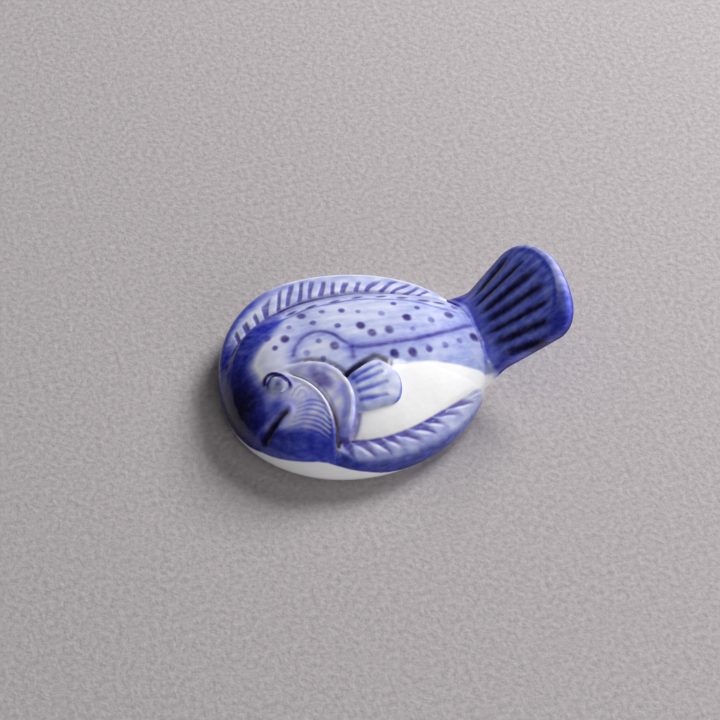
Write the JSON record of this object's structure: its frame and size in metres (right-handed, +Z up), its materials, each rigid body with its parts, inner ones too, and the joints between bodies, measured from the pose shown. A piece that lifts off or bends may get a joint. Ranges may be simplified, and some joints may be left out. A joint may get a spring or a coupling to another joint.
{
  "type": "chopstick rest",
  "caption": "Small glazed porcelain chopstick rest in the shape of a flatfish, with a flat foot and a raised tail that keeps the chopsticks from sliding off.",
  "frame": {"origin": "on the flat foot, below the middle of the fish's length and width", "axes": "+X from head to tail, +Y to the dorsal fin, +Z up from the table"},
  "size_m": [0.0581, 0.0405, 0.019],
  "materials": {
    "white_glaze": "clear gloss glaze over white porcelain",
    "spotted_glaze": "thin cobalt wash with darker spots under gloss glaze",
    "deep_cobalt_glaze": "deep cobalt under gloss glaze, near black where it pools",
    "pale_cobalt_glaze": "pale cobalt wash with brush strokes under gloss glaze"
  },
  "bodies": {
    "root": {"base": "white_glaze", "back": "spotted_glaze", "head": "deep_cobalt_glaze", "gill_cover": "pale_cobalt_glaze", "eye": "deep_cobalt_glaze", "pectoral_fin": "pale_cobalt_glaze", "dorsal_fin": "pale_cobalt_glaze", "anal_fin": "deep_cobalt_glaze", "tail_fin": "deep_cobalt_glaze"}
  },
  "joints": []
}
